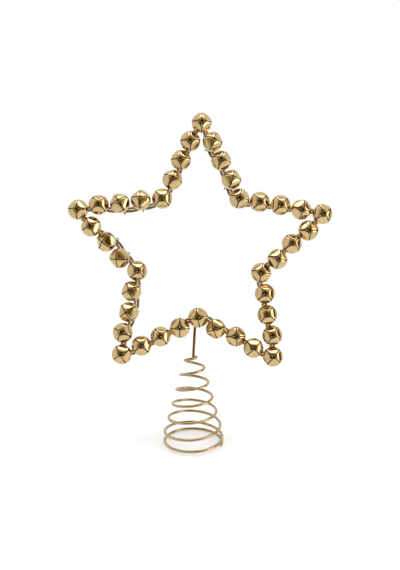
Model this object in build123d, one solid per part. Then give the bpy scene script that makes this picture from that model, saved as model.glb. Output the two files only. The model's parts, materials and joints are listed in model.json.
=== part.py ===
from build123d import *
import math
import os

# A christmas tree topper: jingle bells along a star of twisted wire, on a stem and a conical wire spring.
# Lengths are in millimetres and angles in degrees. The spring's lowest turn rests on z = 0, its axis is Z,
# and the star faces -Y and leans back, because the upper turns of the spring bend under it.

os.makedirs("parts", exist_ok=True)

# Jingle bell: a round back, and a domed front with four pressed petals between four slots.
# A petal is bent along a straight fold, with a steep rim outside the fold and a flatter face inside it.
bell_radius = 7.5
bell_wall = 0.45
dome_radius = 10.4
dome_height = 5.9
rim_start_height = 0.3
fold_half_width = 5.8
fold_height = 3.2
fold_bend = 1.2
face_slope = 40
slot_width = 0.55
slot_foot_height = 1.0
slot_end_radius = 0.5
tip_hole_radius = 0.75
pellet_radius = 2.0
pellet_clearance = 0.1
pellet_rest_angle = 12

# Twisted pair of frame wires: they lie one behind the other at each bell and side by side between bells
frame_wire_radius = 1.0
frame_wire_gap = 0.3
pair_half_width = 1.2
pair_half_depth = frame_wire_radius + frame_wire_gap / 2
pair_radius = pair_half_depth + frame_wire_radius

# Bell shank: a bent wire eye round the pair, with two legs through the shell's back
shank_wire_radius = 0.4
shank_clearance = 0.4
shank_neck = 1.95
shank_leg_offset = 0.6
shank_leg_reach = 2.0
shank_leg_gap = 0.25
shank_leg_bend = 0.55
shank_shoulder_bend = 0.9
eye_round_share = 0.98
eye_half_width = pair_radius + shank_clearance + shank_wire_radius
pivot_distance = bell_radius + shank_neck + shank_wire_radius + eye_half_width
leg_hole_radius = shank_leg_offset + shank_wire_radius + shank_clearance / 2

# Star: reach of the wire at its points and inner corners, and the bends there
star_points = 5
tip_reach = 95.5
corner_reach = 49.2
tip_bend = 3.5
corner_bend = 6.0
least_bell_gap = 0.5
tip_bell_gap = 1.0
tip_step_share = 1.036
star_roll = -2.0
tangent_step_share = 0.01

# Stem and spring, of the same wire
spring_wire_radius = 1.1
grip_clearance = 0.2
hook_clearance = 0.6
hook_wrap = 280
stem_length = 32.85
stem_foot_below_eye = 0.5
base_ring_radius = 22.4
first_turn_radius = 6.8
eye_turn_radius = 2 * spring_wire_radius + grip_clearance
eye_turn_gap = 0.45
eye_turn_pitch = 2 * spring_wire_radius + eye_turn_gap
coil_pitch = 11.3
closing_pitch = 0.0
spring_start_turn = -0.6
grip_end_turn = -0.35
full_pitch_turn = 0.1
base_ring_turn = 5
spring_end_turn = 6.55
turns_per_sample = 0.25

# Radius and pitch of the spring at turns counted from the first wide turn
radius_by_turn = [
    (spring_start_turn, eye_turn_radius),
    (grip_end_turn, eye_turn_radius),
    (0, first_turn_radius),
    (base_ring_turn, base_ring_radius),
    (spring_end_turn, base_ring_radius),
]
pitch_by_turn = [
    (spring_start_turn, eye_turn_pitch),
    (grip_end_turn, eye_turn_pitch),
    (full_pitch_turn, coil_pitch),
    (base_ring_turn, coil_pitch),
    (spring_end_turn, closing_pitch),
]

# The spring's axis is upright up to the first height and has its full lean from the second one up
lean_start_height = 14.0
lean_end_height = 64.0
star_lean = 13
stem_roll = 3

# Each bell's swing out of the star about its wire, its lean along the wire towards the next bell and the slant
# of a slot as seen from the front, and how far the wire is bent out of the star there, as a share of the bell's
# radius. They are counted round the star from the top point, down the left side first.
bell_pose_shares = [
    (5, -2, 0, -0.1), (-1, -3, 3, 0), (6, -4, 5, -0.2), (3, -14, 67, -0.2),
    (-3, -1, 45, -0.05), (22, 0, 0, -0.56), (20, 7, 30, -0.61), (8, -4, 45, -0.22),
    (5, -2, 0, -0.15), (1, -4, 28, 0), (22, -14, 57, -0.56), (22, -6, 0, -0.31),
    (-11, 3, 45, 0.23), (17, -4, 26, -0.35), (18, 5, 35, -0.55), (8, -9, 66, -0.12),
    (5, -2, 31, -0.1), (-9, 4, 48, 0.18), (-9, 7, 40, 0.28), (5, -2, 0, 0),
    (0, -4, 13, 0), (14, -11, 18, -0.24), (-7, 3, 2, 0.07), (2, 1, 45, -0.1),
    (0, 2, 51, 0), (3, 7, 60, -0.05), (-3, 10, 53, 0), (3, 6, 43, -0.05),
    (-3, 5, 80, 0), (4, 10, 77, 0), (-4, 8, 40, 0.05), (5, 4, 0, -0.1),
    (7, -2, 35, -0.15), (-4, -5, 76, 0), (3, -5, 45, -0.05), (1, -7, 45, 0.05),
    (4, 3, 75, -0.1), (17, 12, 72, -0.3), (4, 8, 72, -0.1), (17, 6, 70, -0.5),
]
sides = 2 * star_points


def cos_sin(degrees):
    """The cosine and sine of an angle in degrees."""
    return math.cos(math.radians(degrees)), math.sin(math.radians(degrees))


def polar(radius, degrees):
    """A point on a circle about 0, as two coordinates."""
    cos, sin = cos_sin(degrees)
    return radius * cos, radius * sin


def between(table, at):
    """A value read off a table of (place, value) pairs, straight between its rows."""
    for (low, first), (high, last) in zip(table, table[1:]):
        if at <= high:
            return first + (last - first) * (at - low) / (high - low)
    return table[-1][1]


# Wire tubes

def biarc(start, start_way, end, end_way):
    """Two arcs that leave one point and reach another in the given unit directions."""
    span = end - start
    both = start_way + end_way
    spread = 2 * (1 - start_way.dot(end_way))
    along = span.dot(both)
    if spread < 1e-9:
        reach = span.dot(span) / (2 * along)
    else:
        reach = (math.sqrt(along**2 + spread * span.dot(span)) - along) / spread
    first_knee = start + start_way * reach
    last_knee = end - end_way * reach
    middle = (first_knee + last_knee) / 2
    middle_way = (last_knee - first_knee).normalized()
    return [arc_or_line(start, start_way, middle), arc_or_line(middle, middle_way, end)]


def arc_or_line(start, way, end):
    """The arc that leaves start along way and ends at end, or the straight line if it has no bend."""
    if way.cross((end - start).normalized()).length < 1e-6:
        return Edge.make_line(start, end)
    return Edge.make_tangent_arc(start, way, end)


def tube(curve, places, radius):
    """A round wire along curve, a function of place, on arcs between the given places."""
    step = tangent_step_share * (places[1] - places[0])
    points = [curve(place) for place in places]
    ways = [(curve(place + step) - curve(place - step)).normalized() for place in places]
    edges = []
    for index in range(len(places) - 1):
        edges += biarc(points[index], ways[index], points[index + 1], ways[index + 1])
    section = Plane(origin=points[0], z_dir=ways[0]) * Circle(radius)
    return sweep(section, path=Wire(edges))


# Bell

def petal_prism(inset):
    """A long bar whose front is one pair of petals, made smaller all round by inset."""
    peak = fold_height + fold_half_width * math.tan(math.radians(face_slope))
    right = [
        (bell_radius, -2 * bell_radius),
        (bell_radius, rim_start_height),
        (fold_half_width, fold_height),
    ]
    left = [(-x, z) for x, z in reversed(right)]
    outline = make_face(Polyline(*right, (0, peak), *left, close=True))
    if inset > 0:
        outline = offset(outline, -inset, kind=Kind.INTERSECTION)
    folds = outline.vertices().sort_by(Axis.Y)[-3:-1]
    outline = fillet(folds, fold_bend - inset)
    return extrude(Plane.XZ * outline, amount=2 * bell_radius, both=True)


def bell_solid(inset):
    """The whole bell's form, made smaller all round by inset."""
    dome = Pos(0, 0, dome_height - dome_radius) * Sphere(dome_radius - inset)
    prism = petal_prism(inset)
    return Sphere(bell_radius - inset) & dome & prism & prism.rotate(Axis.Z, 90)


def bell_shell():
    """The pressed shell, centred on its round back, with its front toward +Z."""
    shell = bell_solid(0) - bell_solid(bell_wall)
    slot_length = 3 * bell_radius
    slot_height = 2 * bell_radius
    for slant in (45, -45):
        slot = Pos(0, 0, slot_foot_height + slot_height / 2) * Box(slot_length, slot_width, slot_height)
        slot_end = Pos(0, 0, slot_foot_height) * Rot(0, 90, 0) * Cylinder(slot_end_radius, slot_length)
        shell -= Rot(0, 0, slant) * slot
        shell -= Rot(0, 0, slant) * slot_end
    shell -= Pos(0, 0, bell_radius) * Cylinder(tip_hole_radius, bell_radius)
    shell -= Pos(0, 0, -bell_radius) * Cylinder(leg_hole_radius, bell_radius)
    return shell


def bell_shank():
    """The wire eye behind the shell: its legs pass the hole and are spread inside."""
    inner_radius = bell_radius - bell_wall
    leg_end = shank_leg_reach + shank_wire_radius
    legs_level = -math.sqrt(inner_radius**2 - leg_end**2) + shank_wire_radius + shank_leg_gap
    eye_top = eye_half_width - pivot_distance
    eye_bottom = -eye_half_width - pivot_distance
    left = [
        (-shank_leg_reach, legs_level),
        (-shank_leg_offset, legs_level),
        (-shank_leg_offset, eye_top),
        (-eye_half_width, eye_top),
        (-eye_half_width, eye_bottom),
    ]
    right = [(-x, z) for x, z in reversed(left)]
    round_bend = eye_round_share * eye_half_width
    bends = [shank_leg_bend, shank_leg_bend, shank_shoulder_bend, round_bend]
    points = [(x, 0, z) for x, z in left + right]
    path = FilletPolyline(*points, radius=[*bends, *reversed(bends)])
    section = Plane(origin=path @ 0, z_dir=path % 0) * Circle(shank_wire_radius)
    return sweep(section, path=path)


# Star path, in the plane of the star with its middle at 0, x to the right and z up

def side_path():
    """A side's length, and a function from a distance along it to a point and the heading there.

    The side runs from the middle of the top point's bend to the middle of the inner corner's bend on its right.
    """
    corner_angle = 90 - 180 / star_points
    tip_centre = Vector(0, tip_reach - tip_bend)
    corner_centre = Vector(*polar(corner_reach + corner_bend, corner_angle))
    span = corner_centre - tip_centre
    straight = math.sqrt(span.length**2 - (tip_bend + corner_bend) ** 2)
    cross_angle = math.asin((tip_bend + corner_bend) / span.length)
    heading = math.atan2(span.Y, span.X) - cross_angle
    tip_arc = -heading * tip_bend
    corner_arc = (-heading - math.pi / star_points) * corner_bend

    def at(distance):
        if distance < tip_arc:
            way = -distance / tip_bend
            centre, bend = tip_centre, -tip_bend
        elif distance < tip_arc + straight:
            way = heading
            run = distance - tip_arc
            start = tip_centre - tip_bend * Vector(math.sin(way), -math.cos(way))
            return start + run * Vector(math.cos(way), math.sin(way)), way
        else:
            way = heading + (distance - tip_arc - straight) / corner_bend
            centre, bend = corner_centre, corner_bend
        return centre + bend * Vector(math.sin(way), -math.cos(way)), way

    return tip_arc + straight + corner_arc, at


side_length, side_at = side_path()

# A side holds as many bells as it has room for, evenly spaced but for a longer step at the star's point,
# where the bells on the two sides of that point clear each other
side_middle, side_heading = side_at(side_length / 2)
beside_tip = bell_radius + tip_bell_gap / 2
clear_step = side_length / 2 - (side_middle.X - beside_tip) / math.cos(side_heading)
bells_per_side = 1 + int((side_length - clear_step) // (2 * bell_radius + least_bell_gap))
bell_count = sides * bells_per_side
hook_bell = bell_count // 2
tip_step = max(clear_step, tip_step_share * side_length / bells_per_side)
bell_step = (side_length - tip_step) / (bells_per_side - 1)


def bell_pose(number):
    """The swing, lean, slant and wire bend of a bell counted from 0."""
    return bell_pose_shares[number % len(bell_pose_shares)]


def wire_bend(station):
    """How far the wire is bent out of the star at a bell number, with no slope at each bell."""
    number = math.floor(station)
    share = (1 - math.cos(math.pi * (station - number))) / 2
    _, _, _, here = bell_pose(number)
    _, _, _, there = bell_pose(number + 1)
    return bell_radius * (here + (there - here) * share)


def star_at(station):
    """The wire's middle, its direction and its outward direction at a bell number counted from 0."""
    side, along = divmod(station % bell_count, bells_per_side)
    from_tip = side % 2 == 0
    near_tip = along if from_tip else bells_per_side - along
    stations = [(0, 0), (1, tip_step), (bells_per_side, side_length)]
    point, heading = side_at(between(stations, near_tip))
    way = Vector(-math.cos(heading), 0, math.sin(heading))
    place = Vector(-point.X, 0, point.Y)
    if not from_tip:
        way = Vector(way.X, 0, -way.Z)
        place = Vector(-place.X, 0, place.Z)
    tip_number = (side + 1) // 2
    turn = -tip_number * 360 / star_points
    place = place.rotate(Axis.Y, turn)
    way = way.rotate(Axis.Y, turn)
    outward = Vector(way.Z, 0, -way.X)
    return place + outward * wire_bend(station), way, outward


def strand(sign):
    """The path of one wire of the twisted pair, as a function of bell number."""

    def at(station):
        place, _, outward = star_at(station)
        twist = math.pi * station
        across = sign * pair_half_width * math.sin(twist)
        depth = sign * pair_half_depth * math.cos(twist)
        return place + outward * across + Vector(0, depth, 0)

    return at


# Spring path

def coil_height(turn):
    """The height of the spring's wire at a turn."""
    places = [place for place, _ in pitch_by_turn if place > turn]
    total = 0
    for low, high in zip([turn, *places], places):
        total += (high - low) * (between(pitch_by_turn, low) + between(pitch_by_turn, high)) / 2
    return spring_wire_radius + total


def leaned(x, y, height):
    """A point about the spring's axis, carried with the axis where that bends back."""
    bend_radius = (lean_end_height - lean_start_height) / math.radians(star_lean)
    bent = min(max(height, lean_start_height), lean_end_height) - lean_start_height
    lean = bent / bend_radius
    rise = height - lean_start_height - bent
    up = Vector(0, math.sin(lean), math.cos(lean))
    back = Vector(0, math.cos(lean), -math.sin(lean))
    axis = Vector(0, bend_radius * (1 - math.cos(lean)), lean_start_height + bend_radius * math.sin(lean))
    return axis + up * rise + back * y + Vector(x, 0, 0)


def coil_at(turn):
    """The middle of the spring's wire. It winds down clockwise as seen from above."""
    x, y = polar(between(radius_by_turn, turn), 180 - 360 * turn)
    return leaned(x, y, coil_height(turn))


def spring_gap():
    """The least space between two turns of the spring, measured on points along it."""
    count = round((spring_end_turn - spring_start_turn) / turns_per_sample) * 12
    step = (spring_end_turn - spring_start_turn) / count
    points = [coil_at(spring_start_turn + step * index) for index in range(count + 1)]
    half_turn = round(0.5 / step)
    distances = [
        (points[first] - points[second]).length
        for first in range(len(points))
        for second in range(first + half_turn, len(points))
    ]
    return min(distances) - 2 * spring_wire_radius


# Places of the stem, the star and the bells

hook_offset = shank_wire_radius + hook_clearance + spring_wire_radius
hook_inner_radius = pair_radius + hook_clearance
hook_bend = hook_inner_radius + spring_wire_radius
grip_height = (coil_height(spring_start_turn) + coil_height(grip_end_turn)) / 2
stem_foot = coil_height(grip_end_turn) - stem_foot_below_eye - spring_wire_radius - grip_height
stem_neck = stem_foot + stem_length

# The stem's seat is at the middle height of the spring's end, which bends round the stem's foot
seat = Location(leaned(0, 0, grip_height), (-star_lean, 0, 0)) * Rot(0, stem_roll, 0)
hook_drop = corner_bend - math.sqrt(corner_bend**2 - hook_offset**2)
hook_in_star = Vector(-hook_offset, 0, -corner_reach - hook_drop)
hook_place = Pos(0, -hook_bend, stem_neck)
star_place = seat * hook_place * Rot(0, star_roll, 0) * Pos(*(-hook_in_star))


def stem_wire():
    """The straight stem, with an eye at its top that goes round the twisted pair."""
    foot = Vector(0, 0, stem_foot)
    neck = Vector(0, 0, stem_neck)
    centre = neck - Vector(0, hook_bend, 0)
    on_hook = [centre + Vector(0, *polar(hook_bend, hook_wrap * share)) for share in (0.25, 0.5, 0.75, 1)]
    path = Wire([
        Edge.make_line(foot, neck),
        Edge.make_three_point_arc(neck, on_hook[0], on_hook[1]),
        Edge.make_three_point_arc(on_hook[1], on_hook[2], on_hook[3]),
    ])
    return seat * sweep(Plane(origin=foot) * Circle(spring_wire_radius), path=path)


def bell_hinge(number):
    """The middle of a bell's eye on the wire, and the wire's direction and outward direction at the bell."""
    _, lean, _, _ = bell_pose(number)
    _, way, outward = star_at(number)
    pivot, _, _ = star_at(number - pivot_distance * math.sin(math.radians(lean)) / bell_step)
    return pivot, way, outward


def bell_frame(number):
    """The plane of one bell: its middle, the eye's width along x and the bell's front along z."""
    swing, lean, _, _ = bell_pose(number)
    pivot, way, outward = bell_hinge(number)
    forward, out = cos_sin(swing)
    ahead = Vector(0, -1, 0)
    level_front = ahead * forward + outward * out
    across = outward * forward - ahead * out
    upright, along = cos_sin(lean)
    front = level_front * upright + way * along
    return Plane(origin=pivot + front * pivot_distance, x_dir=across, z_dir=front), outward


def bell(number, shell, shank, pellet):
    """One bell as three solids: its shell, its shank and the loose pellet on the low side of the hollow."""
    plane, outward = bell_frame(number)
    _, _, slant, _ = bell_pose(number)
    outward_angle = math.degrees(math.atan2(outward.Z, outward.X))
    spin = slant - 45 - outward_angle
    placed = star_place * plane.location
    down = placed.inverse() * Pos(*(placed.position - Vector(0, 0, bell_radius)))
    low_side = Vector(down.position.X, down.position.Y, 0).normalized()
    reach = bell_radius - bell_wall - pellet_radius - pellet_clearance
    along, back = polar(reach, pellet_rest_angle)
    pellet_at = low_side * along - Vector(0, 0, back)
    solids = [
        placed * Rot(0, 0, spin) * shell,
        placed * shank,
        placed * Pos(*pellet_at) * pellet,
    ]
    return Compound(children=[item.solid() for item in solids])


def main():
    shell = bell_shell()
    shank = bell_shank()
    pellet = Sphere(pellet_radius)
    nodes = {}
    for number in range(bell_count):
        nodes[f"bell_{number + 1:02d}"] = bell(number, shell, shank, pellet)

    # Both frame wires start and end inside the stem's eye, where their ends meet
    seam = hook_bell - hook_offset / bell_step
    opening = frame_wire_gap / side_length
    count = 2 * bell_count
    run = bell_count - 2 * opening
    places = [seam + opening + run * index / count for index in range(count + 1)]
    nodes["frame_wire_a"] = star_place * tube(strand(1), places, frame_wire_radius)
    nodes["frame_wire_b"] = star_place * tube(strand(-1), places, frame_wire_radius)

    nodes["stem"] = stem_wire()
    samples = round((spring_end_turn - spring_start_turn) / turns_per_sample)
    turn_step = (spring_end_turn - spring_start_turn) / samples
    turns = [spring_start_turn + turn_step * index for index in range(samples + 1)]
    nodes["spring"] = tube(coil_at, turns, spring_wire_radius)
    print("least gap between turns of the spring, mm:", round(spring_gap(), 2))

    for name, shape in nodes.items():
        export_step(shape, f"parts/{name}.step")


main()
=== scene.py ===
import json
import math
from collections import namedtuple

import bmesh
import bpy
from mathutils import Matrix, Vector


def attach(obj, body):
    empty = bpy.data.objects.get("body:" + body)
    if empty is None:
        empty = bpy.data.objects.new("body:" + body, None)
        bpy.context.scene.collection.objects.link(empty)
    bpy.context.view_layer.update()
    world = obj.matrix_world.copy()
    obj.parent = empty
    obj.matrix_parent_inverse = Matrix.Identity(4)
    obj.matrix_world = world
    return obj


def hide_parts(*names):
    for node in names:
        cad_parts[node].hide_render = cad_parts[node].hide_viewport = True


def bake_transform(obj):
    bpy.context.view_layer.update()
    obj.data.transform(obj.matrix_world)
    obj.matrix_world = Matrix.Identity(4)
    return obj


# A christmas tree topper: jingle bells along a star of twisted wire, on a stem and a conical spring.
# Lengths are in metres. The spring stands on z = 0, the star faces -Y and leans back.

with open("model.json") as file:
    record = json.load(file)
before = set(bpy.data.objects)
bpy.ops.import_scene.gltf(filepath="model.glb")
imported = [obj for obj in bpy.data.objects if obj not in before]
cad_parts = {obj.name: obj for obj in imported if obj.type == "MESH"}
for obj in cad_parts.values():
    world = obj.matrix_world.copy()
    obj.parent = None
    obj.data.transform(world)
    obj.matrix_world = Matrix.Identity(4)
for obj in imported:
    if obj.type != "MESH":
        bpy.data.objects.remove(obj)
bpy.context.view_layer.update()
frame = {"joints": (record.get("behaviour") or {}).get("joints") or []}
joints = {joint["name"]: joint for joint in frame["joints"]}

MM = 0.001

# Photograph: the scale at the bells, where the star's middle lies, and how far off the camera stands
PHOTO_WIDTH = 400
PHOTO_HEIGHT = 570
PIXEL = 0.745 * MM
STAR_PIXEL_X = 199.2
STAR_PIXEL_Y = 251.9
CAMERA_DISTANCE = 500 * MM
SENSOR_WIDTH = 36

# Jingle bell
BELL_RADIUS = 7.5 * MM
BELL_WALL = 0.45 * MM
DOME_RADIUS = 10.4 * MM
DOME_HEIGHT = 5.9 * MM
RIM_START_HEIGHT = 0.3 * MM
FOLD_HALF_WIDTH = 5.8 * MM
FOLD_HEIGHT = 3.2 * MM
FACE_SLOPE = math.radians(40)
FACE_BEND = 14.0 * MM
FACE_MIDDLE_WIDTH = 4.45 * MM
FOLD_ROUND = 0.08 * MM
SLOT_WIDTH = 0.55 * MM
SLOT_FOOT_HEIGHT = 1.0 * MM
SLOT_END_RADIUS = 0.5 * MM
TIP_HOLE_RADIUS = 0.75 * MM
LIP_DEPTH = 0.12 * MM
LIP_ROUND = 0.07 * MM
PELLET_RADIUS = 2.0 * MM
PELLET_SEAM = 0.06 * MM
PELLET_REST = math.radians(12)
PELLET_CLEARANCE = 0.1 * MM

# Bell shank
SHANK_WIRE_RADIUS = 0.4 * MM
SHANK_LEG_OFFSET = 0.6 * MM
SHANK_LEG_REACH = 2.0 * MM
SHANK_LEG_GAP = 0.25 * MM
SHANK_LEG_BEND = 0.55 * MM
SHANK_SHOULDER_BEND = 0.9 * MM
EYE_HALF_WIDTH = 2.95 * MM
EYE_ROUND_SHARE = 0.98
PIVOT_DISTANCE = 12.8 * MM
LEG_HOLE_RADIUS = 1.2 * MM

# Twisted pair of frame wires. The seam's step and gap are counted in bells
FRAME_WIRE_RADIUS = 1.0 * MM
PAIR_HALF_WIDTH = 1.2 * MM
PAIR_HALF_DEPTH = 1.15 * MM
BELL_STEP = 15.716 * MM
HOOK_BELL = 20
SEAM_STEP = 0.187
SEAM_GAP = 0.005

# Stem and spring. Turns are counted from the top, below 0 in the end that grips the stem
SPRING_WIRE_RADIUS = 1.1 * MM
STEM_LENGTH = 32.85 * MM
STEM_FOOT_BELOW_EYE = 0.5 * MM
STEM_ROLL = math.radians(3)
HOOK_BEND = 3.85 * MM
HOOK_WRAP = math.radians(280)
BASE_RING_RADIUS = 22.4 * MM
FIRST_TURN_RADIUS = 6.8 * MM
EYE_TURN_RADIUS = 2.4 * MM
EYE_TURN_PITCH = 2.65 * MM
COIL_PITCH = 11.3 * MM
START_TURN = -0.6
GRIP_END_TURN = -0.35
FULL_PITCH_TURN = 0.1
BASE_RING_TURN = 5
END_TURN = 6.55
SMOOTHED_TURNS = [-0.09, -0.06, -0.03, 0, 0.03, 0.06, 0.09]
RADIUS_BY_TURN = [
    (START_TURN, EYE_TURN_RADIUS),
    (GRIP_END_TURN, EYE_TURN_RADIUS),
    (0, FIRST_TURN_RADIUS),
    (BASE_RING_TURN, BASE_RING_RADIUS),
    (END_TURN, BASE_RING_RADIUS),
]
PITCH_BY_TURN = [
    (START_TURN, EYE_TURN_PITCH),
    (GRIP_END_TURN, EYE_TURN_PITCH),
    (FULL_PITCH_TURN, COIL_PITCH),
    (BASE_RING_TURN, COIL_PITCH),
    (END_TURN, 0),
]

# The spring's axis bends back between these heights, and the star leans by the whole angle.
# The star is also rolled a little in its own plane.
LEAN_START = 14.0 * MM
LEAN_END = 64.0 * MM
STAR_LEAN = math.radians(13)
STAR_ROLL = math.radians(1)
AHEAD = Vector((0, -math.cos(STAR_LEAN), math.sin(STAR_LEAN)))
STAR_UP = Vector((0, math.sin(STAR_LEAN), math.cos(STAR_LEAN)))
RIGHT = Vector((1, 0, 0))

# Each bell's swing out of the star, lean along the wire towards the next bell and slant of a slot,
# in degrees, from the top point down the left side
BELL_POSES = [
    (5, -2, 0), (-1, -3, 3), (6, -4, 5), (3, -14, 67),
    (-3, -1, 45), (22, 0, 0), (20, 7, 30), (8, -4, 45),
    (5, -2, 0), (1, -4, 28), (22, -14, 57), (22, -6, 0),
    (-11, 3, 45), (17, -4, 26), (18, 5, 35), (8, -9, 66),
    (5, -2, 31), (-9, 4, 48), (-9, 7, 40), (5, -2, 0),
    (0, -4, 13), (14, -11, 18), (-7, 3, 2), (2, 1, 45),
    (0, 2, 51), (3, 7, 60), (-3, 10, 53), (3, 6, 43),
    (-3, 5, 80), (4, 10, 77), (-4, 8, 40), (5, 4, 0),
    (7, -2, 35), (-4, -5, 76), (3, -5, 45), (1, -7, 45),
    (4, 3, 75), (17, 12, 72), (4, 8, 72), (17, 6, 70),
]
BELL_COUNT = len(BELL_POSES)
STAR_POINTS = 5
TIP_BELLS = range(0, BELL_COUNT, BELL_COUNT // STAR_POINTS)

# Fineness of the meshes
WIRE_SIDES = 14
BEND_STEPS = 7
STEPS_PER_BELL = 14
STEPS_PER_TURN = 56
STEM_STEPS = 40
LIP_SEGMENTS = 2
PELLET_SIDES = 24
PELLET_RINGS = 16
FLOOR_SIDES = 96
FLAG_SIDES = 64


def polar(radius, angle):
    """A point on a circle about 0, in a plane."""
    return Vector((radius * math.cos(angle), radius * math.sin(angle)))


def between(table, at):
    """A value read off a table of (place, value) pairs, straight between its rows."""
    for (low, first), (high, last) in zip(table, table[1:]):
        if at <= high:
            return first + (last - first) * (at - low) / (high - low)
    return table[-1][1]


def finished_mesh(name, bm):
    """A mesh from what was built, which is let go."""
    mesh = bpy.data.meshes.new(name)
    bm.to_mesh(mesh)
    bm.free()
    return mesh


def add_object(name, mesh, material=None):
    """A new object in the scene, with a material unless its mesh has its own."""
    thing = bpy.data.objects.new(name, mesh)
    bpy.context.scene.collection.objects.link(thing)
    if material is not None:
        mesh.materials.append(material)
    return thing


# Wire

CUT_CHAMFER_SHARE = 0.3
Ring = namedtuple("Ring", "middle across other radius run")


def wire_rings(path, radius):
    """Rings round a path, each with its run along the path. The ends are chamfered."""
    ways = []
    for index in range(len(path)):
        before = path[max(index - 1, 0)]
        after = path[min(index + 1, len(path) - 1)]
        ways.append((after - before).normalized())
    across = ways[0].orthogonal().normalized()
    rings = []
    run = 0
    for index, (point, way) in enumerate(zip(path, ways)):
        across = (across - way * across.dot(way)).normalized()
        if index:
            run += (point - path[index - 1]).length
        rings.append(Ring(point, across, way.cross(across), radius, run))
    chamfer = CUT_CHAMFER_SHARE * radius
    cut_radius = radius - chamfer
    first = rings[0]._replace(middle=path[0] - ways[0] * chamfer, radius=cut_radius, run=-chamfer)
    last = rings[-1]._replace(middle=path[-1] + ways[-1] * chamfer, radius=cut_radius, run=run + chamfer)
    return [first, *rings, last]


def ring_vertices(bm, ring):
    """The vertices of one ring."""
    vertices = []
    for index in range(WIRE_SIDES):
        angle = 2 * math.pi * index / WIRE_SIDES
        arm = math.cos(angle) * ring.across + math.sin(angle) * ring.other
        vertices.append(bm.verts.new(ring.middle + ring.radius * arm))
    return vertices


def wire_mesh(name, path, radius):
    """A round wire along a path. Its map runs round the wire in u and along it in v."""
    rings = wire_rings(path, radius)
    bm = bmesh.new()
    layer = bm.loops.layers.uv.new("wire")
    rows = [ring_vertices(bm, ring) for ring in rings]
    for ring, next_ring, row, next_row in zip(rings, rings[1:], rows, rows[1:]):
        runs = (ring.run, ring.run, next_ring.run, next_ring.run)
        for index in range(WIRE_SIDES):
            after = (index + 1) % WIRE_SIDES
            face = bm.faces.new((row[index], row[after], next_row[after], next_row[index]))
            face.smooth = True
            turns = (index, index + 1, index + 1, index)
            for loop, turn, run in zip(face.loops, turns, runs):
                loop[layer].uv = (turn / WIRE_SIDES, run)
    bm.faces.new(list(reversed(rows[0])))
    bm.faces.new(rows[-1])
    bmesh.ops.recalc_face_normals(bm, faces=bm.faces)
    return finished_mesh(name, bm)


def rounded(points, bends):
    """A path through points whose inner corners are arcs of the given bend radii."""
    path = [points[0]]
    for before, corner, after, bend in zip(points, points[1:], points[2:], bends):
        way_in = (corner - before).normalized()
        way_out = (after - corner).normalized()
        turn = way_in.angle(way_out)
        centre = corner + (way_out - way_in).normalized() * bend / math.cos(turn / 2)
        arm = corner - way_in * bend * math.tan(turn / 2) - centre
        axis = way_in.cross(way_out).normalized()
        for step in range(BEND_STEPS + 1):
            path.append(centre + Matrix.Rotation(turn * step / BEND_STEPS, 3, axis) @ arm)
    path.append(points[-1])
    return path


# Bell shell

PETAL_COLUMN_SHARES = [
    -1, -0.95, -0.87, -0.78, -0.69, -0.54, -0.36, -0.18, 0,
    0.18, 0.36, 0.54, 0.69, 0.78, 0.87, 0.95, 1,
]
LIP_START_SHARE = 0.87
DOME_ROW_SHARES = [0, 0.1, 0.27, 0.47, 0.67, 0.84, 0.96, 1]
FACE_ROW_SHARES = [0.04, 0.2, 0.45, 0.72]
FOLD_ROW_SHARES = [-1, -0.5, 0, 0.5, 1]
RIM_ROW_SHARES = [0.35, 0.65, 0.92, 1]
SLOT_ROW_SHARES = [0.12, 0.34, 0.56, 0.67, 0.72, 0.78, 0.84, 0.9, 0.96, 1]
BACK_ROWS = 13
FOLD_SPREAD = math.radians(2)
FOLD_SPREAD_SHARE = 0.25
FOOT_STEP = math.radians(1.5)
FORM_END_HALVINGS = 40
MERGE_DISTANCE = 0.002 * MM
ROUNDED_EDGE_ANGLE = math.radians(50)
QUARTERS = 4
QUARTER = math.radians(90)

# The forms of the shell: the dome, and a petal's face and rim, in a plane across the petal's fold
DOME_CENTRE = Vector((0, DOME_HEIGHT - DOME_RADIUS))
FOLD = Vector((FOLD_HALF_WIDTH, FOLD_HEIGHT))
RIM_WAY = Vector((FOLD_HEIGHT - RIM_START_HEIGHT, BELL_RADIUS - FOLD_HALF_WIDTH)).normalized()
FACE_WAY = Vector((math.sin(FACE_SLOPE), math.cos(FACE_SLOPE)))
FACE_MIDDLE = FOLD + (FOLD_HALF_WIDTH - FACE_MIDDLE_WIDTH) * Vector((-1, math.tan(FACE_SLOPE)))
FACE_CENTRE = FACE_MIDDLE - FACE_BEND * FACE_WAY
DOME, FACE, RIM = range(3)


def direction(tilt, turn):
    """A unit direction at an angle from the bell's front and a turn about it."""
    return Vector((math.sin(tilt) * math.cos(turn), math.sin(tilt) * math.sin(turn), math.cos(tilt)))


def arc_reach(way, centre, radius):
    """How many times a direction goes into the distance from 0 to a circle in its plane."""
    along = way.dot(centre)
    square = way.dot(way)
    return (along + math.sqrt(along**2 + square * (radius**2 - centre.dot(centre)))) / square


def form_reaches(tilt, turn):
    """How far the dome, a petal's face and rim and the round back lie from the bell's middle."""
    way = Vector((math.sin(tilt), math.cos(tilt)))
    petal_way = Vector((way.x * math.cos(turn), way.y))
    return [
        arc_reach(way, DOME_CENTRE, DOME_RADIUS),
        arc_reach(petal_way, FACE_CENTRE, FACE_BEND),
        FOLD.dot(RIM_WAY) / petal_way.dot(RIM_WAY),
        BELL_RADIUS,
    ]


def form_end(form, turn):
    """The angle from the bell's front where a form, or the one before it, goes over into a later one."""
    low = 0
    high = QUARTER
    for _ in range(FORM_END_HALVINGS):
        middle = (low + high) / 2
        reaches = form_reaches(middle, turn)
        if reaches.index(min(reaches)) <= form:
            low = middle
        else:
            high = middle
    return low


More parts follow.
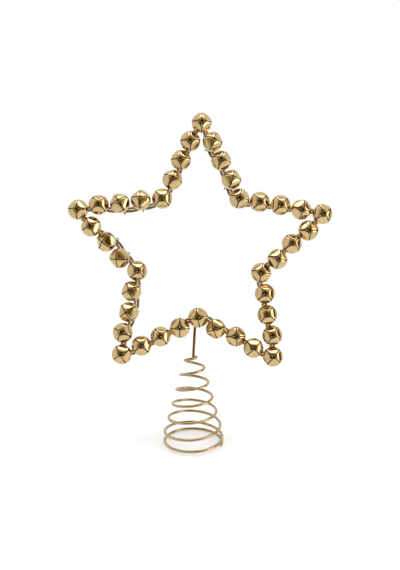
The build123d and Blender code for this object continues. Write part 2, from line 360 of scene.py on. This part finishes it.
def bell_point(tilt, turn):
    """A point of the bell's outer form, with the fold rounded."""
    way = direction(tilt, turn)
    if tilt >= QUARTER:
        return way * BELL_RADIUS
    dome, face, rim, back = form_reaches(tilt, turn)
    overlap = max(0, FOLD_ROUND - abs(face - rim)) / FOLD_ROUND
    petal = min(face, rim) - overlap**2 * FOLD_ROUND / 4
    return way * min(dome, petal, back)


def slot_half_width(height):
    """Half the slot's width at a height, wider in the round hole at its end."""
    from_end = height - SLOT_FOOT_HEIGHT
    if abs(from_end) >= SLOT_END_RADIUS:
        return SLOT_WIDTH / 2 if from_end > 0 else 0
    hole = math.sqrt(SLOT_END_RADIUS**2 - from_end**2)
    return max(hole, SLOT_WIDTH / 2) if from_end > 0 else hole


def petal_vertex(bm, quarter, share, tilt, slot_shade):
    """One vertex of a petal, with its lip beside the slot pressed in."""
    edge = bell_point(tilt, QUARTER / 2)
    half = slot_half_width(edge.z)
    spread = QUARTER / 2 - math.asin(min(half / edge.xy.length, 1))
    point = bell_point(tilt, share * spread)
    lip = 0
    if half > 0:
        lip = max(0, (abs(share) - LIP_START_SHARE) / (1 - LIP_START_SHARE)) ** 2
    point -= direction(tilt, share * spread) * LIP_DEPTH * lip
    point.rotate(Matrix.Rotation(quarter * QUARTER, 3, "Z"))
    vertex = bm.verts.new(point)
    # How far the lip is pressed in also sets how much painted shade the plating gets there
    vertex[slot_shade] = lip
    return vertex


def spaced(low, high, shares):
    """Values between two others, at the given shares of the way."""
    return [low + (high - low) * share for share in shares]


def column_tilts(turn):
    """The rows of one column of the shell, close together where one form meets the next."""
    hole_tilt = math.asin(TIP_HOLE_RADIUS / DOME_HEIGHT)
    back_tilt = math.pi - math.asin(LEG_HOLE_RADIUS / BELL_RADIUS)
    dome_end = form_end(DOME, turn)
    fold = form_end(FACE, turn)
    rim_end = form_end(RIM, turn)
    slot_end_tilt = math.acos((SLOT_FOOT_HEIGHT - SLOT_END_RADIUS) / BELL_RADIUS)
    foot_tilt = max(slot_end_tilt, rim_end + FOOT_STEP)
    narrower = min(fold - dome_end, rim_end - fold)
    spread = min(FOLD_SPREAD, FOLD_SPREAD_SHARE * narrower)
    back_shares = [(row + 1) / BACK_ROWS for row in range(BACK_ROWS)]
    return [
        *spaced(hole_tilt, dome_end, DOME_ROW_SHARES),
        *spaced(dome_end, fold - spread, FACE_ROW_SHARES),
        *spaced(fold, fold + spread, FOLD_ROW_SHARES),
        *spaced(fold + spread, rim_end, RIM_ROW_SHARES),
        *spaced(rim_end, foot_tilt, SLOT_ROW_SHARES),
        *spaced(foot_tilt, back_tilt, back_shares),
    ]


def shell_grid(bm, quarter, slot_shade):
    """A quarter of the shell, from the tip's hole to the back's hole, as columns of vertices."""
    columns = []
    for share in PETAL_COLUMN_SHARES:
        tilts = column_tilts(share * QUARTER / 2)
        columns.append([petal_vertex(bm, quarter, share, tilt, slot_shade) for tilt in tilts])
    return columns


def shell_sheet():
    """The shell's outer sheet: four quarters joined behind their slots."""
    bm = bmesh.new()
    # A mask of painted shade for the lips beside the slots
    slot_shade = bm.verts.layers.float.new("slot_shade")
    for quarter in range(QUARTERS):
        columns = shell_grid(bm, quarter, slot_shade)
        for left, right in zip(columns, columns[1:]):
            for row in range(len(left) - 1):
                face = bm.faces.new((left[row], left[row + 1], right[row + 1], right[row]))
                face.smooth = True
    bmesh.ops.remove_doubles(bm, verts=bm.verts, dist=MERGE_DISTANCE)
    bmesh.ops.recalc_face_normals(bm, faces=bm.faces)
    return finished_mesh("bell_sheet", bm)


def shell_mesh(gold, inside):
    """The shell with its wall, dull and near black inside with painted shade, and with rounded edges
    along the slots and holes.
    """
    sheet = add_object("bell_sheet", shell_sheet(), gold)
    sheet.data.materials.append(inside)
    wall = sheet.modifiers.new("wall", "SOLIDIFY")
    wall.thickness = BELL_WALL
    wall.offset = -1
    wall.material_offset = 1
    edges = sheet.modifiers.new("edges", "BEVEL")
    edges.width = LIP_ROUND
    edges.segments = LIP_SEGMENTS
    edges.limit_method = "ANGLE"
    edges.angle_limit = ROUNDED_EDGE_ANGLE
    bpy.context.view_layer.update()
    final = sheet.evaluated_get(bpy.context.evaluated_depsgraph_get())
    mesh = bpy.data.meshes.new_from_object(final)
    mesh.name = "bell_shell"
    bpy.data.objects.remove(sheet)
    return mesh


# Bell shank and pellet

def shank_mesh():
    """The wire eye behind the shell, with its legs spread inside."""
    leg_end = SHANK_LEG_REACH + SHANK_WIRE_RADIUS
    wall_level = -math.sqrt((BELL_RADIUS - BELL_WALL) ** 2 - leg_end**2)
    legs_level = SHANK_WIRE_RADIUS + SHANK_LEG_GAP + wall_level
    eye_top = EYE_HALF_WIDTH - PIVOT_DISTANCE
    eye_bottom = -EYE_HALF_WIDTH - PIVOT_DISTANCE
    left = [
        Vector((-SHANK_LEG_REACH, 0, legs_level)),
        Vector((-SHANK_LEG_OFFSET, 0, legs_level)),
        Vector((-SHANK_LEG_OFFSET, 0, eye_top)),
        Vector((-EYE_HALF_WIDTH, 0, eye_top)),
        Vector((-EYE_HALF_WIDTH, 0, eye_bottom)),
    ]
    right = [Vector((-point.x, 0, point.z)) for point in reversed(left)]
    eye_bend = EYE_ROUND_SHARE * EYE_HALF_WIDTH
    bends = [SHANK_LEG_BEND, SHANK_LEG_BEND, SHANK_SHOULDER_BEND, eye_bend]
    path = rounded(left + right, bends + bends[::-1])
    return wire_mesh("bell_shank", path, SHANK_WIRE_RADIUS)


def pellet_mesh():
    """A cast ball with a raised seam round its middle."""
    bm = bmesh.new()
    radius = PELLET_RADIUS - PELLET_SEAM
    bmesh.ops.create_uvsphere(bm, u_segments=PELLET_SIDES, v_segments=PELLET_RINGS, radius=radius)
    for vertex in bm.verts:
        if abs(vertex.co.z) < PELLET_SEAM:
            vertex.co *= PELLET_RADIUS / vertex.co.length
    for face in bm.faces:
        face.smooth = True
    return finished_mesh("bell_pellet", bm)


# Places

def station(number):
    """A bell's pivot on the wire, the wire's direction there and the direction out of the star."""
    joint = joints[f"bell_{number % BELL_COUNT + 1:02d}_swing"]
    way = Vector(joint["axis"]).normalized()
    return Vector(joint["pos_m"]), way, way.cross(AHEAD)


def bell_place(number):
    """The place of a bell: the eye's width along x, and its front along z."""
    pivot, way, outward = station(number)
    swing, lean, _ = [math.radians(angle) for angle in BELL_POSES[number]]
    level_front = AHEAD * math.cos(swing) + outward * math.sin(swing)
    across = outward * math.cos(swing) - AHEAD * math.sin(swing)
    front = level_front * math.cos(lean) + way * math.sin(lean)
    turn = Matrix((across, front.cross(across), front)).transposed()
    return Matrix.Translation(pivot + front * PIVOT_DISTANCE) @ turn.to_4x4()


def shell_spin(number):
    """The shell's turn about its front, from its slot's slant in the photograph."""
    outward = station(number)[2]
    outward_angle = math.atan2(outward.dot(STAR_UP), outward.dot(RIGHT)) + STAR_ROLL
    _, _, slant = BELL_POSES[number]
    return math.radians(slant) - QUARTER / 2 - outward_angle


def pellet_offset(place):
    """Where the loose pellet lies, on the low side of the hollow."""
    down = place.to_3x3().inverted() @ Vector((0, 0, -1))
    low_side = Vector((down.x, down.y, 0)).normalized()
    reach = BELL_RADIUS - BELL_WALL - PELLET_RADIUS - PELLET_CLEARANCE
    return low_side * reach * math.cos(PELLET_REST) - Vector((0, 0, reach * math.sin(PELLET_REST)))


def placed_copy(mesh, place):
    """A copy of a mesh with its vertices at a place."""
    copy = mesh.copy()
    copy.transform(place)
    return copy


def make_bells(gold, inside, wire, steel):
    """All the bells, each a shell with its shank and pellet."""
    shell = shell_mesh(gold, inside)
    shank = shank_mesh()
    pellet = pellet_mesh()
    for number in range(BELL_COUNT):
        name = f"bell_{number + 1:02d}"
        place = bell_place(number)
        spun = place @ Matrix.Rotation(shell_spin(number), 4, "Z")
        bell = add_object(name + "_shell", placed_copy(shell, spun))
        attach(bell, name)
        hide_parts(name)
        eye = add_object(name + "_shank", placed_copy(shank, place), wire)
        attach(eye, name)
        rest = place @ Matrix.Translation(pellet_offset(place))
        ball = add_object(name + "_pellet", placed_copy(pellet, rest), steel)
        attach(ball, name)


# Frame wires

def pair_at(place):
    """The middle of the twisted pair and the direction out of the star, at a place counted in bells.

    From bell to bell it is a cubic curve that follows the wire's direction at both.
    """
    number = math.floor(place)
    share = place - number
    first, first_way, _ = station(number)
    last, last_way, _ = station(number + 1)
    chord = (last - first).length
    square = share * share
    cube = square * share
    point = (2 * cube - 3 * square + 1) * first + (cube - 2 * square + share) * chord * first_way
    point += (3 * square - 2 * cube) * last + (cube - square) * chord * last_way
    way = (6 * square - 6 * share) * (first - last) + (3 * square - 4 * share + 1) * chord * first_way
    way += (3 * square - 2 * share) * chord * last_way
    return point, way.normalized().cross(AHEAD)


def twist_at(place):
    """The turn of the twisted pair at a place counted in bells: half a twist from bell to bell.

    A bell that leans along the wire hangs beside its even place on the wire, which keeps the even twist.
    """
    number = math.floor(place)
    leans = [math.radians(BELL_POSES[index % BELL_COUNT][1]) for index in (number, number + 1)]
    first, last = [PIVOT_DISTANCE * math.sin(lean) / BELL_STEP for lean in leans]
    return math.pi * (place - first - (last - first) * (place - number))


def strand_path(sign):
    """The path of one wire of the pair."""
    start = HOOK_BELL - SEAM_STEP + SEAM_GAP
    run = BELL_COUNT - 2 * SEAM_GAP
    steps = BELL_COUNT * STEPS_PER_BELL
    path = []
    for step in range(steps + 1):
        place = start + run * step / steps
        middle, outward = pair_at(place)
        across = sign * PAIR_HALF_WIDTH * math.sin(twist_at(place))
        depth = sign * PAIR_HALF_DEPTH * math.cos(twist_at(place))
        path.append(middle + outward * across - AHEAD * depth)
    return path


def make_frame_wires(wire):
    """The two wires that carry the bells."""
    for letter, sign in (("a", 1), ("b", -1)):
        node = "frame_wire_" + letter
        mesh = wire_mesh(node, strand_path(sign), FRAME_WIRE_RADIUS)
        strand = add_object(node + "_twisted", mesh, wire)
        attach(strand, "star_frame")
        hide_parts(node)


# Stem and spring

def coil_height(turn):
    """The height of the spring's wire at a turn."""
    places = [place for place, _ in PITCH_BY_TURN if place > turn]
    total = 0
    for low, high in zip([turn, *places], places):
        total += (high - low) * (between(PITCH_BY_TURN, low) + between(PITCH_BY_TURN, high)) / 2
    return SPRING_WIRE_RADIUS + total


def coil_radius(turn):
    """The radius of the spring at a turn, with the changes of the table smoothed."""
    radii = [between(RADIUS_BY_TURN, turn + step) for step in SMOOTHED_TURNS]
    return sum(radii) / len(radii)


def leaned(x, y, height):
    """A point about the spring's axis, carried with the axis where that bends back."""
    bend_radius = (LEAN_END - LEAN_START) / STAR_LEAN
    bent = min(max(height, LEAN_START), LEAN_END) - LEAN_START
    lean = bent / bend_radius
    rise = height - LEAN_START - bent
    up = Vector((0, math.sin(lean), math.cos(lean)))
    back = Vector((0, math.cos(lean), -math.sin(lean)))
    axis = Vector((0, bend_radius * (1 - math.cos(lean)), LEAN_START + bend_radius * math.sin(lean)))
    return axis + up * rise + back * y + Vector((x, 0, 0))


def make_spring(wire):
    """The conical spring, which bends between its base and the stem as it is pressed together."""
    steps = round((END_TURN - START_TURN) * STEPS_PER_TURN)
    path = []
    for step in range(steps + 1):
        turn = START_TURN + (END_TURN - START_TURN) * step / steps
        flat = polar(coil_radius(turn), math.pi - 2 * math.pi * turn)
        path.append(leaned(flat.x, flat.y, coil_height(turn)))
    spring = add_object("spring_coil", wire_mesh("spring_coil", path, SPRING_WIRE_RADIUS), wire)
    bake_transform(spring)
    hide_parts("spring")


def make_stem(wire):
    """The straight stem with an eye at its top round the twisted pair."""
    grip_height = (coil_height(START_TURN) + coil_height(GRIP_END_TURN)) / 2
    foot = coil_height(GRIP_END_TURN) - STEM_FOOT_BELOW_EYE - SPRING_WIRE_RADIUS - grip_height
    seat = leaned(0, 0, grip_height)
    up = STAR_UP * math.cos(STEM_ROLL) + RIGHT * math.sin(STEM_ROLL)
    path = [seat + up * (foot + STEM_LENGTH * step / STEM_STEPS) for step in range(STEM_STEPS)]
    for step in range(STEM_STEPS + 1):
        flat = polar(HOOK_BEND, HOOK_WRAP * step / STEM_STEPS)
        path.append(seat + up * (foot + STEM_LENGTH + flat.y) + AHEAD * (HOOK_BEND - flat.x))
    stem = add_object("stem_wire", wire_mesh("stem_wire", path, SPRING_WIRE_RADIUS), wire)
    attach(stem, "stem")
    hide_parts("stem")


# Materials. Colours are linear red, green and blue. Scales of noise are per metre, but not those of lines

WHITE = (1, 1, 1)
BLACK = (0, 0, 0)
NOISE_LOW = 0.3
NOISE_HIGH = 0.7
TINT_DETAIL = 4

# The plating of the bells, with its fine dents and finer grain
GOLD_LIGHT = (0.61, 0.455, 0.23)
GOLD_DARK = (0.55, 0.40, 0.195)
GOLD_TINT_SCALE = 210
GOLD_ROUGHNESS = (0.05, 0.12)
GOLD_POLISH_SCALE = 420
GOLD_POLISH_DETAIL = 5
GOLD_BUMP_DETAIL = 2
DENT_SCALE = 900
DENT_DEPTH = 0.02 * MM
DENT_STRENGTH = 0.35
GRAIN_SCALE = 5200
GRAIN_DEPTH = 0.004 * MM
GRAIN_STRENGTH = 0.4

# Painted shade: the lips beside the slots are darkened as if shade fell into the slots
SLOT_SHADE_COLOUR = (0.07, 0.038, 0.01)
SLOT_SHADE_SHARE = 0.9
SLOT_SHADE_START = 0.2
SLOT_SHADE_END = 0.9

# Drawn wire, with lines that are short across it and long along it
# Gold wire darkened to brown: painted shade for the frame wires and shanks, which lie in the bells'
# shadow. The stem is given the same brown
SHADED_WIRE_LIGHT = (0.335, 0.225, 0.088)
SHADED_WIRE_DARK = (0.26, 0.17, 0.062)
GOLD_WIRE_LIGHT = (0.52, 0.40, 0.23)
GOLD_WIRE_DARK = (0.42, 0.315, 0.17)
WIRE_TINT_SCALE = 160
WIRE_ROUGHNESS = (0.18, 0.28)
LINES_STRETCH = (9, 30, 1)
LINES_SCALE = 3.2
LINES_DETAIL = 4
LINES_SHARPNESS = 0.6
LINES_DEPTH = 0.004 * MM
LINES_STRENGTH = 0.3

# Dull metals: the inside of the bells, near black as painted shade for the closed hollow, and the cast
# pellets
DullSkin = namedtuple(
    "DullSkin",
    "light dark tint_scale roughness polish_scale bump_scale bump_detail bump_depth bump_strength",
)
# Painted shade: the inside is near black, for the shade in the closed hollow
INSIDE_SHADE_SKIN = DullSkin(
    light=(0.05, 0.03, 0.01),
    dark=(0.03, 0.018, 0.006),
    tint_scale=300,
    roughness=(0.5, 0.7),
    polish_scale=600,
    bump_scale=1500,
    bump_detail=2,
    bump_depth=0.01 * MM,
    bump_strength=0.4,
)
PELLET_SKIN = DullSkin(
    light=(0.36, 0.33, 0.28),
    dark=(0.22, 0.20, 0.17),
    tint_scale=700,
    roughness=(0.35, 0.6),
    polish_scale=1500,
    bump_scale=2600,
    bump_detail=3,
    bump_depth=0.02 * MM,
    bump_strength=0.5,
)


class Painter:
    """A material and short ways to add nodes to it."""

    def __init__(self, name):
        self.material = bpy.data.materials.new(name)
        self.material.use_nodes = True
        self.tree = self.material.node_tree
        self.shader = self.tree.nodes["Principled BSDF"]

    def node(self, kind, **values):
        """A new node with some of its settings."""
        made = self.tree.nodes.new(kind)
        for key, value in values.items():
            setattr(made, key, value)
        return made

    def link(self, source, target):
        """A link from an output to an input."""
        self.tree.links.new(source, target)

    def feed(self, name, source):
        """A link from an output to a socket of the shader."""
        self.link(source, self.shader.inputs[name])

    def noise(self, place, scale, detail=3, roughness=0.55):
        """Noise at a place."""
        made = self.node("ShaderNodeTexNoise")
        made.inputs["Scale"].default_value = scale
        made.inputs["Detail"].default_value = detail
        made.inputs["Roughness"].default_value = roughness
        self.link(place, made.inputs["Vector"])
        return made.outputs["Fac"]

    def ranged(self, value, low, high, from_low=NOISE_LOW, from_high=NOISE_HIGH):
        """A value carried from one range to another."""
        made = self.node("ShaderNodeMapRange")
        made.inputs["From Min"].default_value = from_low
        made.inputs["From Max"].default_value = from_high
        made.inputs["To Min"].default_value = low
        made.inputs["To Max"].default_value = high
        self.link(value, made.inputs["Value"])
        return made.outputs["Result"]

    def mixed(self, factor, first, last):
        """A mix of two colours, each given by its numbers or by an output."""
        made = self.node("ShaderNodeMix", data_type="RGBA")
        colours = [item for item in made.inputs if item.type == "RGBA"]
        for socket, value in zip(colours, (first, last)):
            if isinstance(value, tuple):
                socket.default_value = (*value, 1)
            else:
                self.link(value, socket)
        self.link(factor, made.inputs["Factor"])
        return [item for item in made.outputs if item.type == "RGBA"][0]

    def patches(self, place, scale, light, dark):
        """Soft patches of two colours."""
        return self.mixed(self.ranged(self.noise(place, scale, TINT_DETAIL), 0, 1), light, dark)

    def bump(self, height, distance, strength, normal=None):
        """A normal bent by a height, on top of another if one is given."""
        made = self.node("ShaderNodeBump")
        made.inputs["Distance"].default_value = distance
        made.inputs["Strength"].default_value = strength
        self.link(height, made.inputs["Height"])
        if normal is not None:
            self.link(normal, made.inputs["Normal"])
        return made.outputs["Normal"]

    def spread_place(self):
        """Object coordinates, shifted by a different amount on each object."""
        coordinates = self.node("ShaderNodeTexCoord")
        info = self.node("ShaderNodeObjectInfo")
        shifted = self.node("ShaderNodeVectorMath", operation="ADD")
        self.link(coordinates.outputs["Object"], shifted.inputs[0])
        self.link(info.outputs["Random"], shifted.inputs[1])
        return shifted.outputs["Vector"]

    def middle_distance(self):
        """The distance from the object's own middle."""
        coordinates = self.node("ShaderNodeTexCoord")
        distance = self.node("ShaderNodeVectorMath", operation="LENGTH")
        self.link(coordinates.outputs["Object"], distance.inputs[0])
        return distance.outputs["Value"]


def bell_gold():
    """Polished pale gold plating: slightly uneven in tint and polish, with painted shade darkening the
    lips beside the slots.
    """
    paint = Painter("bell_gold")
    place = paint.spread_place()
    plating = paint.patches(place, GOLD_TINT_SCALE, GOLD_LIGHT, GOLD_DARK)
    # Painted shade: the plating is darkened on the lips beside the slots
    slot_shade = paint.node("ShaderNodeAttribute", attribute_name="slot_shade")
    slot_shading = paint.ranged(slot_shade.outputs["Fac"], 0, SLOT_SHADE_SHARE, SLOT_SHADE_START, SLOT_SHADE_END)
    paint.feed("Base Color", paint.mixed(slot_shading, plating, SLOT_SHADE_COLOUR))
    polish = paint.noise(place, GOLD_POLISH_SCALE, GOLD_POLISH_DETAIL)
    paint.feed("Roughness", paint.ranged(polish, *GOLD_ROUGHNESS))
    dents = paint.noise(place, DENT_SCALE, GOLD_BUMP_DETAIL)
    dented = paint.bump(dents, DENT_DEPTH, DENT_STRENGTH)
    grain = paint.noise(place, GRAIN_SCALE, GOLD_BUMP_DETAIL)
    paint.feed("Normal", paint.bump(grain, GRAIN_DEPTH, GRAIN_STRENGTH, dented))
    paint.shader.inputs["Metallic"].default_value = 1
    return paint.material


def drawn_wire(name, light, dark):
    """Satin gold wire with fine lines along it from drawing."""
    paint = Painter(name)
    coordinates = paint.node("ShaderNodeTexCoord")
    stretched = paint.node("ShaderNodeMapping")
    stretched.inputs["Scale"].default_value = LINES_STRETCH
    paint.link(coordinates.outputs["UV"], stretched.inputs["Vector"])
    lines = paint.noise(stretched.outputs["Vector"], LINES_SCALE, LINES_DETAIL, LINES_SHARPNESS)
    paint.feed("Base Color", paint.patches(coordinates.outputs["Object"], WIRE_TINT_SCALE, light, dark))
    paint.feed("Roughness", paint.ranged(lines, *WIRE_ROUGHNESS))
    paint.feed("Normal", paint.bump(lines, LINES_DEPTH, LINES_STRENGTH))
    paint.shader.inputs["Metallic"].default_value = 1
    return paint.material


def dull_metal(name, skin):
    """Metal with a dull, uneven skin."""
    paint = Painter(name)
    place = paint.spread_place()
    paint.feed("Base Color", paint.patches(place, skin.tint_scale, skin.light, skin.dark))
    polish = paint.noise(place, skin.polish_scale)
    paint.feed("Roughness", paint.ranged(polish, *skin.roughness))
    bumps = paint.noise(place, skin.bump_scale, skin.bump_detail)
    paint.feed("Normal", paint.bump(bumps, skin.bump_depth, skin.bump_strength))
    paint.shader.inputs["Metallic"].default_value = 1
    return paint.material


# Studio. Levels are brightness, and the white surround is seen at level 1

SURROUND_LIGHT_LEVEL = 0.55
FLOOR_RADIUS = 2.0
FLOOR_FADE_START = 0.12
FLOOR_FADE_END = 0.5
FLOOR_COLOUR = (0.9, 0.9, 0.9)
FLOOR_ROUGHNESS = 0.9
FLOOR_GLOW = 0.4

# What polished metal shows of the studio's dark side, which has a warm tint
DARK_TINT = (1, 0.72, 0.2)
FLAG_DISTANCE = 0.62
FLAG_DARK_ANGLE = math.radians(20)
FLAG_ANGLE = math.radians(60)
FLAG_DARK_LEVEL = 0.09
PANEL_PLACE = Vector((0.62, 0.055, 0.2))
PANEL_WIDTH = 0.23
PANEL_HEIGHT = 0.6
PANEL_LEVEL = 0.15

# Soft boxes
TOP_BOX_PLACE = Vector((0, -0.03, 0.9))
TOP_BOX_WIDTH = 0.7
TOP_BOX_HEIGHT = 0.34
TOP_BOX_LEVEL = 3.0
RIGHT_BOX_PLACE = Vector((0.62, -0.27, 0.23))
RIGHT_BOX_WIDTH = 0.40
RIGHT_BOX_HEIGHT = 0.5
RIGHT_BOX_LEVEL = 2.4


def star_middle():
    """The middle of the star, in the plane of the bells' middles."""
    pivots = [station(number)[0] for number in TIP_BELLS]
    return sum(pivots, Vector()) / len(pivots) + AHEAD * PIVOT_DISTANCE


def facing(place, target):
    """A place whose -Z points at a target."""
    turn = (target - place).to_track_quat("-Z", "Y")
    return Matrix.Translation(place) @ turn.to_matrix().to_4x4()


def seen_rays(tree):
    """A value that is 1 for rays from the camera, and for what metal and glass show of the background."""
    rays = tree.nodes.new("ShaderNodeLightPath")
    total = rays.outputs["Is Camera Ray"]
    for name in ("Is Glossy Ray", "Is Transmission Ray"):
        both = tree.nodes.new("ShaderNodeMath")
        both.operation = "MAXIMUM"
        tree.links.new(total, both.inputs[0])
        tree.links.new(rays.outputs[name], both.inputs[1])
        total = both.outputs["Value"]
    return total


def make_surround():
    """A white surround that lights softly."""
    world = bpy.data.worlds.new("studio")
    world.use_nodes = True
    tree = world.node_tree
    bpy.context.scene.world = world
    background = tree.nodes["Background"]
    background.inputs["Color"].default_value = (*WHITE, 1)
    level = tree.nodes.new("ShaderNodeMapRange")
    level.inputs["To Min"].default_value = SURROUND_LIGHT_LEVEL
    level.inputs["To Max"].default_value = 1
    tree.links.new(seen_rays(tree), level.inputs["Value"])
    tree.links.new(level.outputs["Result"], background.inputs["Strength"])


def make_floor():
    """A plain white floor that keeps the object's shadow and goes over into the white surround."""
    bm = bmesh.new()
    bmesh.ops.create_circle(bm, cap_ends=True, radius=FLOOR_RADIUS, segments=FLOOR_SIDES)
    paint = Painter("floor_white")
    fade = paint.ranged(paint.middle_distance(), 0, 1, FLOOR_FADE_START, FLOOR_FADE_END)
    paint.feed("Base Color", paint.mixed(fade, FLOOR_COLOUR, BLACK))
    paint.shader.inputs["Roughness"].default_value = FLOOR_ROUGHNESS
    paint.shader.inputs["Specular IOR Level"].default_value = 0
    paint.shader.inputs["Emission Color"].default_value = (*WHITE, 1)
    level = paint.node("ShaderNodeMath", operation="MULTIPLY")
    paint.link(seen_rays(paint.tree), level.inputs[0])
    paint.link(paint.ranged(fade, FLOOR_GLOW, 1, 0, 1), level.inputs[1])
    paint.feed("Emission Strength", level.outputs["Value"])
    floor = add_object("floor", finished_mesh("floor", bm), paint.material)


def glow_paint(name):
    """A paint that only glows, for what polished metal shows of the studio."""
    paint = Painter(name)
    paint.shader.inputs["Base Color"].default_value = (*BLACK, 1)
    paint.shader.inputs["Specular IOR Level"].default_value = 0
    return paint


def add_card(name, bm, paint, place):
    """A card that faces the star and that only polished metal shows."""
    card = add_object(name, finished_mesh(name, bm), paint.material)
    card.matrix_world = facing(place, star_middle())
    card.visible_camera = False
    card.visible_diffuse = False
    card.visible_shadow = False


def make_flag():
    """The dark side of the studio, behind the camera. It goes over into white."""
    dark_end = FLAG_DISTANCE * math.tan(FLAG_DARK_ANGLE)
    white_start = FLAG_DISTANCE * math.tan(FLAG_ANGLE)
    bm = bmesh.new()
    bmesh.ops.create_circle(bm, cap_ends=True, radius=white_start, segments=FLAG_SIDES)
    paint = glow_paint("flag_dark")
    fade = paint.ranged(paint.middle_distance(), 0, 1, dark_end, white_start)
    paint.feed("Emission Color", paint.mixed(fade, DARK_TINT, WHITE))
    paint.feed("Emission Strength", paint.ranged(fade, FLAG_DARK_LEVEL, 1, 0, 1))
    add_card("dark_flag", bm, paint, star_middle() + AHEAD * FLAG_DISTANCE)


def make_panel():
    """A dark panel at the right, further back than the soft box there."""
    bm = bmesh.new()
    bmesh.ops.create_grid(bm, x_segments=1, y_segments=1, size=1 / 2)
    bmesh.ops.scale(bm, vec=(PANEL_WIDTH, PANEL_HEIGHT, 1), verts=bm.verts)
    paint = glow_paint("dark_panel")
    paint.shader.inputs["Emission Color"].default_value = (*DARK_TINT, 1)
    paint.shader.inputs["Emission Strength"].default_value = PANEL_LEVEL
    add_card("dark_panel", bm, paint, PANEL_PLACE)


def make_light(name, place, width, height, level):
    """A soft box of a given brightness that points at the star."""
    lamp = bpy.data.lights.new(name, "AREA")
    lamp.shape = "RECTANGLE"
    lamp.size = width
    lamp.size_y = height
    lamp.energy = level * math.pi * width * height
    light = bpy.data.objects.new(name, lamp)
    bpy.context.scene.collection.objects.link(light)
    light.matrix_world = facing(place, star_middle())


def make_camera():
    """The photograph's view, square on to the star. The sensor's width spans the picture's height."""
    lens = bpy.data.cameras.new("camera")
    lens.sensor_width = SENSOR_WIDTH
    lens.lens = SENSOR_WIDTH * CAMERA_DISTANCE / (PHOTO_HEIGHT * PIXEL)
    camera = bpy.data.objects.new("camera", lens)
    bpy.context.scene.collection.objects.link(camera)
    aside = (PHOTO_WIDTH / 2 - STAR_PIXEL_X) * PIXEL
    down = (PHOTO_HEIGHT / 2 - STAR_PIXEL_Y) * PIXEL
    place = star_middle() + RIGHT * aside - STAR_UP * down + AHEAD * CAMERA_DISTANCE
    turn = Matrix((RIGHT, STAR_UP, AHEAD)).transposed()
    camera.matrix_world = Matrix.Translation(place) @ turn.to_4x4()
    bpy.context.scene.camera = camera


def make_topper():
    """The pieces of the topper in their materials."""
    gold = bell_gold()
    # Painted shade: the wire darkened to brown, for the frame wires and shanks in the bells' shadow, and
    # also for the stem
    painted_shade_wire = drawn_wire("painted_shade_wire", SHADED_WIRE_LIGHT, SHADED_WIRE_DARK)
    inside = dull_metal("bell_inside_shade", INSIDE_SHADE_SKIN)
    steel = dull_metal("pellet_steel", PELLET_SKIN)
    make_bells(gold, inside, painted_shade_wire, steel)
    make_frame_wires(painted_shade_wire)
    make_stem(painted_shade_wire)
    make_spring(drawn_wire("wire_gold", GOLD_WIRE_LIGHT, GOLD_WIRE_DARK))


def make_studio():
    """The white surround, the lights and what else polished metal shows."""
    make_surround()
    make_floor()
    make_flag()
    make_light("top_softbox", TOP_BOX_PLACE, TOP_BOX_WIDTH, TOP_BOX_HEIGHT, TOP_BOX_LEVEL)
    make_light("right_softbox", RIGHT_BOX_PLACE, RIGHT_BOX_WIDTH, RIGHT_BOX_HEIGHT, RIGHT_BOX_LEVEL)
    make_panel()


make_topper()
make_studio()
make_camera()
bpy.context.scene.view_settings.view_transform = "Standard"
